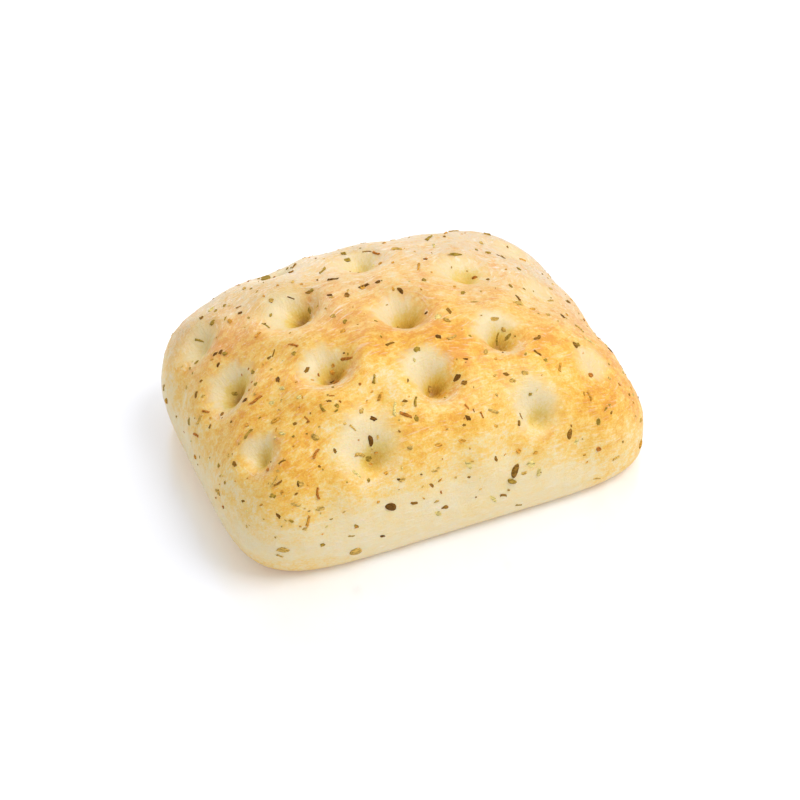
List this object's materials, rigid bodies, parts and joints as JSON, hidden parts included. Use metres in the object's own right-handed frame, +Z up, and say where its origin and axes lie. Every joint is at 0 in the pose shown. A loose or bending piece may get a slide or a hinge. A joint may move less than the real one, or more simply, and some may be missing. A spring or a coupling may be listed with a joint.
{
  "type": "focaccia roll",
  "caption": "Small rectangular focaccia roll with a domed, finger-dimpled crust sprinkled with dried herbs and seeds.",
  "frame": {"origin": "centre of the flat base, on the surface that the roll rests on", "axes": "+X along the roll's length towards its lower, browner end, +Y across it towards the back, +Z up"},
  "size_m": [0.1153, 0.0868, 0.0465],
  "materials": {
    "crust": "egg-glazed bread crust, golden on the ridges and pale cream in the dimples and low on the sides",
    "herbs": "dried herbs and seeds, dark brown to olive and tan, dull"
  },
  "bodies": {
    "root": {"focaccia": "crust"}
  },
  "joints": []
}
